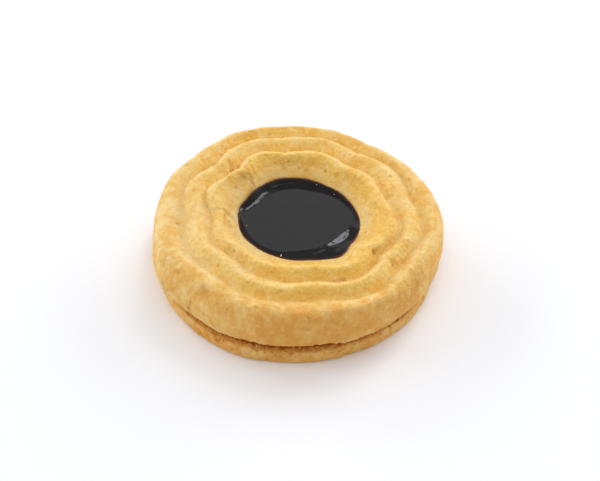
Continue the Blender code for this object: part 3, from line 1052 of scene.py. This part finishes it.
BASE_EDGE = (  # how far in from the full radius, and how high, up the worn edge
    (0.45, 0), (0.1, 0.35), (0, 1), (0.05, 2), (0.35, 2.75), (1.1, 3.2),
)
BASE_EDGE_STEPS = 5
BASE_TOP = (3.0, 6)  # how far in from its edge the top is stepped finely, and its steps
BASE_CREST_TINT = 0.6
BASE_WALL_TINT = 0.68
SHELF_DEPTH = 0.6  # the seam's painted shade reaches this far below the top
BASE_RELIEF = (26.5, 0.8)  # the radius where the crumb begins, and over how much it grows
BASE_FOOT = (0.15, 0.4)  # and the height
BASE_LUMPS = ((6, 0.16), (2.4, 0.16), (1.1, 0.16), (0.7, 0.12))
SHELF_PAINTED_SHADE = ((27, 1), (27.8, 0.75), (28.25, 0.3), (28.6, 0))  # painted shade on the base's top in the seam, by radius


def base_place(base_radius, radius, height, direction):
    """Where a point of the plain disc comes in the slightly uneven base."""
    outward = leaning(direction, BASE_LEAN) + stretch(direction, BASE_BULGE)
    for lobes, amount, most in BASE_WAVES:
        outward += leaning(direction, (amount, most), times=lobes)
    return radius * (1 + outward / base_radius), height


def base_shown(co):
    """How much crumb a point of the base takes: its edge, and none of its flat faces."""
    edge = held((math.hypot(co.x, co.y) - BASE_RELIEF[0]) / BASE_RELIEF[1])
    return edge * held((co.z - BASE_FOOT[0]) / BASE_FOOT[1])


class COOKIE_OT_base(bpy.types.Operator):
    """Build the base biscuit with its crumbly edge"""

    bl_idname = "cookie.base"
    bl_label = "Base Biscuit"

    def execute(self, context):
        scene = context.scene
        settings = scene.cookie_base
        radius = mm(settings.radius)
        thickness = mm(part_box("base_biscuit")[1].z)
        edge = [(radius - inwards, height) for inwards, height in BASE_EDGE]
        section = [(0.0, 0.0)] + straight((radius / 2, 0.0), edge[0], 2)
        for start, end in zip(edge, edge[1:]):
            section += straight(start, end, BASE_EDGE_STEPS)
        inwards, steps = BASE_TOP
        section += straight(edge[-1], (radius - inwards, thickness), steps)
        section += [(radius - inwards, thickness), (radius / 2, thickness), (0.0, thickness)]
        shell = turned(section, settings.stations, False)
        tints = {
            "crest": lambda radius, height, direction: BASE_CREST_TINT,
            "wall": lambda radius, height, direction: BASE_WALL_TINT,
            # painted shade on the base's top, in the seam under the ring's lip
            "toast_and_shade": lambda radius, height, direction: (
                stepped(radius, SHELF_PAINTED_SHADE) if height > thickness - SHELF_DEPTH else 0.0
            ),
        }
        layers = settle(shell, lambda *spot: base_place(radius, *spot), tints)
        roughen(shell, BASE_LUMPS, (), base_shown)
        marker = Marker(shell, layers["toast_and_shade"])
        marker.scatter(random.Random(BASE_SEED), settings.pits, *BASE_PIT_SIZES, base_shown)
        material = dough_material("base_dough", scene.cookie_dough, *BASE_CRUMB)
        finish_piece("cookie_base", shell, material, "base_biscuit")
        return {"FINISHED"}


JAM_SIDE_STEPS = 6
JAM_RIM_STEPS = 34
JAM_INNER_STEPS = 22
JAM_RIM_REACH = 4.6  # the finely stepped rim reaches this far in from the edge
JAM_THIN_EDGE = 0.3  # width of the thin red-brown edge
WAVE_NOISE = 3.0  # the heights at which the noises of its waves, edge and steps are read
EDGE_NOISE = 5.0
STEP_NOISE = 7.0
JAM_TOP = 1.0  # the plug's side follows the surface down to this depth below the level
# Where the rim begins that climbs to the dough, as (direction, radius) rows.
JAM_RIM = (
    (0, 11.2), (20, 11), (35, 10.4), (49, 9.8), (72, 9.2), (98, 9.3), (112, 9.5),
    (118, 9.6), (122, 9.85), (126, 10.25), (132, 10.3), (140, 10.3), (147, 10.35),
    (153, 10.4), (160, 10.8), (165, 11.2), (175, 11.2), (190, 10.9), (225, 10.6),
    (250, 10.3), (262, 9.7), (276, 9.35), (287, 9.35), (295, 9.5), (302, 9.55),
    (306, 10.05), (310, 10.7), (314, 11.2), (318, 11.55), (327, 11.95), (334, 12),
    (340, 11.8), (346, 11.5), (352, 11.3), (360, 11.2),
)
# Stretches that climb, or climb less, in a step of their own: the line where each begins, as
# (direction, radius) rows, its width along that line, and its slope.
JAM_STEPS = (
    (((112, 9.6), (126, 9.75), (131.7, 9.7), (138, 9.4), (144.5, 9.2), (151, 9.35),
      (157, 9.75), (163, 10.4), (168, 11)),
     ((112, 0), (120, 0.3), (126, 0.6), (132, 0.8), (140, 1), (147, 1.1), (153, 0.9), (160, 0.7),
      (165, 0.5), (168, 0)), 0.19),
    (((294, 9.5), (308, 9.6), (318.8, 9.55), (334.5, 10), (342, 10.5)),
     ((294, 0), (302, 0.25), (307, 0.7), (312, 1.3), (318, 1.8), (327, 2),
      (334, 1.7), (340, 0.9), (346, 0.35), (352, 0)), 0.2),
    (((304, 12.4), (322, 12.4)),
     ((303, 0), (311, 0.6), (320, 0.7), (328, 0)), -0.06),
    (((284, 10.9), (296.8, 10.5), (304, 10.8)),
     ((283, 0), (289, 0.55), (297, 0.55), (306, 0)), -0.065),
    (((88, 10.9), (122, 10.75)), ((90, 0), (96, 0.35), (114, 0.4), (121, 0)), -0.08),
)
JAM_STEP_RAGS = (1.1, 0.14)  # how ragged their edges are: size and depth
# How much steeper or flatter the rim is, by direction.
JAM_RIM_STEEPNESS = (
    (0, 1.9), (15, 1.9), (25, 1.6), (35, 1.3), (60, 1.1), (110, 1), (128, 1.1),
    (158, 1.1), (168, 1.7), (176, 1.95), (195, 1.9), (215, 1.4), (240, 1.05),
    (336, 1), (346, 1.1), (354, 1.6), (360, 1.9),
)
JAM_STEP_SOFTNESS = 0.10  # over this length, in millimetres, a step's slope begins and ends
JAM_WAVES = (3.2, 0.03)  # size and height of the slight waves of its surface
JAM_OVERLAP = 0.14  # it reaches this far into the dough
JAM_RAGS = ((1.6, 0.14), (0.7, 0.10))  # size and depth of its ragged edge
# How ragged the edge is, by direction.
JAM_RAGGED = ((0, 0.4), (40, 0.8), (70, 0.7), (110, 0.9), (130, 1.4), (165, 1.2),
              (190, 0.4), (360, 0.4))


def softened(value, softness):
    """The value where it is above 0 and else 0, with the bend between made round."""
    return (value + math.hypot(value, softness)) / 2


def jam_section(edge_radius, bottom, level):
    """The jam's cross-section from the axis below, up its side, to the axis above."""
    side = straight((edge_radius, bottom), (edge_radius, level), JAM_SIDE_STEPS)
    inner_radius = edge_radius - JAM_RIM_REACH
    rim = straight((edge_radius, level), (inner_radius, level), JAM_RIM_STEPS)
    inner = straight((inner_radius, level), (0.0, level), JAM_INNER_STEPS)
    return [(0.0, bottom)] + side + rim + inner + [(0.0, level)]


class JamSurface:
    """The jam in millimetres: how its top lies in the uneven hole and climbs to the dough."""

    def __init__(self, settings, ring, level):
        self.ring = ring
        self.level = level
        self.slope = settings.rim_slope
        self.softness = mm(settings.rim_softness)
        self.hole = ring.hole_edge[0] + JAM_OVERLAP

    def edge(self, direction):
        """Radius of the jam's ragged edge."""
        outer, _ = self.ring.place(*self.ring.hole_edge, direction)
        for size, depth in JAM_RAGS:
            ragged = noise.noise(at(direction, self.ring.hole_edge[0], EDGE_NOISE) / size)
            outer += depth * ragged * stepped(direction, JAM_RAGGED)
        return outer + JAM_OVERLAP

    def steps(self, radius, direction):
        """How high the steps of the rim have climbed at a point."""
        climb = 0.0
        size, depth = JAM_STEP_RAGS
        soft = JAM_STEP_SOFTNESS
        for line, widths, slope in JAM_STEPS:
            width = curved(direction, widths)
            if width > 0.0:
                ragged = depth * noise.noise(at(direction, radius, STEP_NOISE) / size)
                past = radius - curved(direction, line) - ragged
                climb += slope * (softened(past, soft) - softened(past - width, soft))
        return climb

    def rise(self, radius, direction):
        """How high the jam stands over its level."""
        slope = self.slope * curved(direction, JAM_RIM_STEEPNESS)
        climb = slope * softened(radius - curved(direction, JAM_RIM), self.softness)
        size, amount = JAM_WAVES
        wave = amount * noise.noise(at(direction, radius, WAVE_NOISE) / size)
        return climb + wave + self.steps(radius, direction)

    def place(self, radius, height, direction):
        """Where a point of the plain plug comes."""
        radius *= self.edge(direction) / self.hole
        top = held(height - self.level + JAM_TOP)
        return radius, height + top * self.rise(radius, direction)


class COOKIE_OT_jam(bpy.types.Operator):
    """Build the jam, which climbs a little where it meets the dough"""

    bl_idname = "cookie.jam"
    bl_label = "Jam"

    def execute(self, context):
        scene = context.scene
        settings = scene.cookie_jam
        low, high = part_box("jam_filling")
        level = mm(high.z)
        ring = PipedRing(scene.cookie_ring, mm(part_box("base_biscuit")[1].z))
        jam = JamSurface(settings, ring, level)
        shell = turned(jam_section(jam.hole, mm(low.z), level), settings.stations, False)

        def thin(radius, height, direction):
            return math.exp(-(((jam.hole - radius) / JAM_THIN_EDGE) ** 2))

        settle(shell, jam.place, {"thin": thin})
        finish_piece("cookie_jam", shell, jam_material(settings), "jam_filling")
        return {"FINISHED"}


CRUMB_PLACES = ((0.55, 2.9), (0.9, 3.1), (1.2, 3.25), (0.3, 2.6))  # inwards, and height
CRUMB_SIZES = (0.12, 0.34)
CRUMB_SCATTER = 0.1  # up and down
CRUMB_SIDES = ((0.8, 1.2), (0.7, 1.1), (0.5, 0.9))  # least and most of each side
CRUMB_UNEVEN = 0.22
SEAM_CRUMB_TINTS = {"crest": 0.6, "wall": 0.8, "toast_and_shade": 0.3}
JAM_CRUMB_TINTS = {"crest": 0.2, "wall": 0.0, "toast_and_shade": 0.0}
SEAM_TOP = 6.0  # the crumbs above this height lie on the jam, and are paler
# Grains that lie on the jam, as direction, radius, height and size.
JAM_CRUMBS = ((68.5, 11.2, 12.25, 0.13), (44, 10.8, 12.15, 0.13), (191, 10.5, 12.05, 0.12),
              (254, 11.5, 12.2, 0.26), (47, 11.9, 12.3, 0.12))


def add_crumb(shell, rng, centre, size):
    """Add one crumb: a small uneven stone of dough."""
    made = bmesh.ops.create_icosphere(shell, subdivisions=1, radius=size)["verts"]
    turn = Matrix.Rotation(rng.uniform(0.0, math.tau), 3, Vector((rng.random(), rng.random(), 1.0)))
    flatten = Vector([rng.uniform(*side) for side in CRUMB_SIDES])
    for vert in made:
        uneven = 1.0 + rng.uniform(-CRUMB_UNEVEN, CRUMB_UNEVEN)
        vert.co = turn @ (vert.co * uneven * flatten) + centre


class COOKIE_OT_crumbs(bpy.types.Operator):
    """Build the crumbs that cling to the seam, and the few grains on the jam"""

    bl_idname = "cookie.crumbs"
    bl_label = "Seam Crumbs"

    def execute(self, context):
        scene = context.scene
        base_radius = mm(scene.cookie_base.radius)
        rng = random.Random(CRUMB_SEED)
        shell = bmesh.new()
        layers = {name: shell.verts.layers.float.new(name) for name in SEAM_CRUMB_TINTS}
        flow = shell.verts.layers.float_vector.new(FLOW)
        for _ in range(scene.cookie_base.crumbs):
            direction = rng.uniform(0.0, 360.0)
            inwards, height = rng.choice(CRUMB_PLACES)
            radius, _ = base_place(base_radius, base_radius - inwards, height, direction)
            size = rng.uniform(*CRUMB_SIZES)
            height += rng.uniform(-CRUMB_SCATTER, CRUMB_SCATTER)
            add_crumb(shell, rng, at(direction, radius, height), size)
        for direction, radius, height, size in JAM_CRUMBS:
            add_crumb(shell, rng, at(direction, radius, height), size)
        for vert in shell.verts:
            tints = SEAM_CRUMB_TINTS if vert.co.z < SEAM_TOP else JAM_CRUMB_TINTS
            for name, tint in tints.items():
                vert[layers[name]] = tint
            vert[flow] = vert.co
        material = dough_material("crumb_dough", scene.cookie_dough, *LOOSE_CRUMB)
        finish_piece("seam_crumbs", shell, material)
        return {"FINISHED"}


# ---------- Stage

IMAGE_SIZE = (600, 481)
TARGET = Vector((0.0, 0.0, 0.007))
TARGET_PIXEL = (297.0, 237.0)  # where the target lies in the frame
SENSOR_WIDTH = 36.0
COOL = (0.97, 1.0, 1.06)
WARM = (1.06, 1.0, 0.88)
CLEAR = (1.0, 1.0, 1.0)
BOX_DISTANCE = 1.4
FLOOR_SIZE = 4.0
FLOOR_ROUGHNESS = 0.6
# Soft boxes: azimuth from +Y towards +X, elevation, width, height, radiance and colour, and for
# the last one how far it is turned in its own plane.
SOFT_BOXES = {
    "low_left": (-45, 18, 0.8, 0.8, 3.35, COOL),
    "low_right": (45, 18, 0.8, 0.8, 3.5, COOL),
    "back_right": (31, 50, 0.4, 0.56, 4.4, COOL),
    "high_left": (-60, 60, 0.8, 0.8, 0.65, COOL),
    "high_right": (60, 62, 0.8, 0.8, 0.8, COOL),
    "left": (-90, 18, 0.8, 0.8, 2.5, COOL),
    "right": (90, 18, 0.8, 0.8, 1.4, COOL),
    "front": (180, 40, 0.8, 0.8, 1.65, WARM),
    "overhead": (0, 90, 0.8, 0.8, 1.6, COOL),
    "backdrop": (0, 42.5, 0.7, 0.28, 0.67, CLEAR),
    "low_back": (-10.2, 28.1, 0.235, 0.13, 3.6, COOL, 54.7),
}


def add_soft_box(name, azimuth, elevation, width, height, radiance, tone, roll=0.0):
    """A rectangular area light that faces the cookie."""
    light = bpy.data.lights.new(name, "AREA")
    light.shape = "RECTANGLE"
    light.size, light.size_y = width, height
    light.energy = radiance * math.pi * width * height
    light.color = tone
    lamp = bpy.data.objects.new(name, light)
    turn, rise = math.radians(azimuth), math.radians(elevation)
    out = Vector((math.sin(turn) * math.cos(rise), math.cos(turn) * math.cos(rise), math.sin(rise)))
    lamp.location = TARGET + out * BOX_DISTANCE
    facing = out.to_track_quat("Z", "Y") @ Quaternion((0.0, 0.0, 1.0), math.radians(roll))
    lamp.rotation_euler = facing.to_euler()
    bpy.context.scene.collection.objects.link(lamp)


class COOKIE_OT_stage(bpy.types.Operator):
    """Set the pale floor, the soft boxes, the room's light and the camera"""

    bl_idname = "cookie.stage"
    bl_label = "Stage"

    def execute(self, context):
        scene = context.scene
        settings = scene.cookie_stage
        self.add_floor(settings)
        for name, box in SOFT_BOXES.items():
            add_soft_box(name, *box)
        world = bpy.data.worlds.new("room")
        world.use_nodes = True
        world.node_tree.nodes["Background"].inputs["Color"].default_value = (*settings.room, 1.0)
        scene.world = world
        scene.view_settings.view_transform = "Standard"
        scene.camera = self.add_camera(settings)
        return {"FINISHED"}

    def add_floor(self, settings):
        """A plain pale floor."""
        shell = bmesh.new()
        bmesh.ops.create_grid(shell, x_segments=1, y_segments=1, size=FLOOR_SIZE)
        mesh = bpy.data.meshes.new("floor")
        shell.to_mesh(mesh)
        shell.free()
        material, tree, shader = new_material("floor")
        pale = (*settings.floor_colour, 1.0)
        give(tree, shader, {"Base Color": pale, "Roughness": FLOOR_ROUGHNESS})
        mesh.materials.append(material)
        floor = bpy.data.objects.new("floor", mesh)
        bpy.context.scene.collection.objects.link(floor)

    def add_camera(self, settings):
        """The camera at the photograph's viewing angle."""
        data = bpy.data.cameras.new("camera")
        data.sensor_width = SENSOR_WIDTH
        data.lens = settings.lens
        width, height = IMAGE_SIZE
        data.shift_x = (width / 2 - TARGET_PIXEL[0]) / width
        data.shift_y = (TARGET_PIXEL[1] - height / 2) / width
        camera = bpy.data.objects.new("camera", data)
        bpy.context.scene.collection.objects.link(camera)
        down = settings.elevation
        back = Vector((0.0, -math.cos(down), math.sin(down)))
        place = Matrix.Translation(TARGET + back * settings.distance)
        camera.matrix_world = place @ Matrix.Rotation(math.pi / 2 - down, 4, "X")
        return camera


# ---------- The add-on

SETTINGS = {
    "cookie_dough": DoughSettings,
    "cookie_base": BaseSettings,
    "cookie_ring": RingSettings,
    "cookie_jam": JamSettings,
    "cookie_stage": StageSettings,
}
OPERATORS = (COOKIE_OT_base, COOKIE_OT_ring, COOKIE_OT_jam, COOKIE_OT_crumbs, COOKIE_OT_stage)


class COOKIE_PT_panel(bpy.types.Panel):
    """The cookie's settings and what builds its pieces"""

    bl_idname = "COOKIE_PT_panel"
    bl_label = "Cookie"
    bl_space_type = "VIEW_3D"
    bl_region_type = "UI"
    bl_category = "Cookie"

    def draw(self, context):
        for operator in OPERATORS:
            self.layout.operator(operator.bl_idname)
        for name in SETTINGS:
            box = self.layout.box()
            for prop in getattr(context.scene, name).bl_rna.properties:
                if prop.identifier not in {"rna_type", "name"}:
                    box.prop(getattr(context.scene, name), prop.identifier)


CLASSES = (*SETTINGS.values(), *OPERATORS, COOKIE_PT_panel)


def register():
    for cls in CLASSES:
        bpy.utils.register_class(cls)
    for name, cls in SETTINGS.items():
        setattr(bpy.types.Scene, name, PointerProperty(type=cls))


def unregister():
    for name in SETTINGS:
        delattr(bpy.types.Scene, name)
    for cls in reversed(CLASSES):
        bpy.utils.unregister_class(cls)


def main():
    register()
    bpy.ops.cookie.base()
    bpy.ops.cookie.ring()
    bpy.ops.cookie.jam()
    bpy.ops.cookie.crumbs()
    bpy.ops.cookie.stage()


if __name__ == "__main__":
    main()
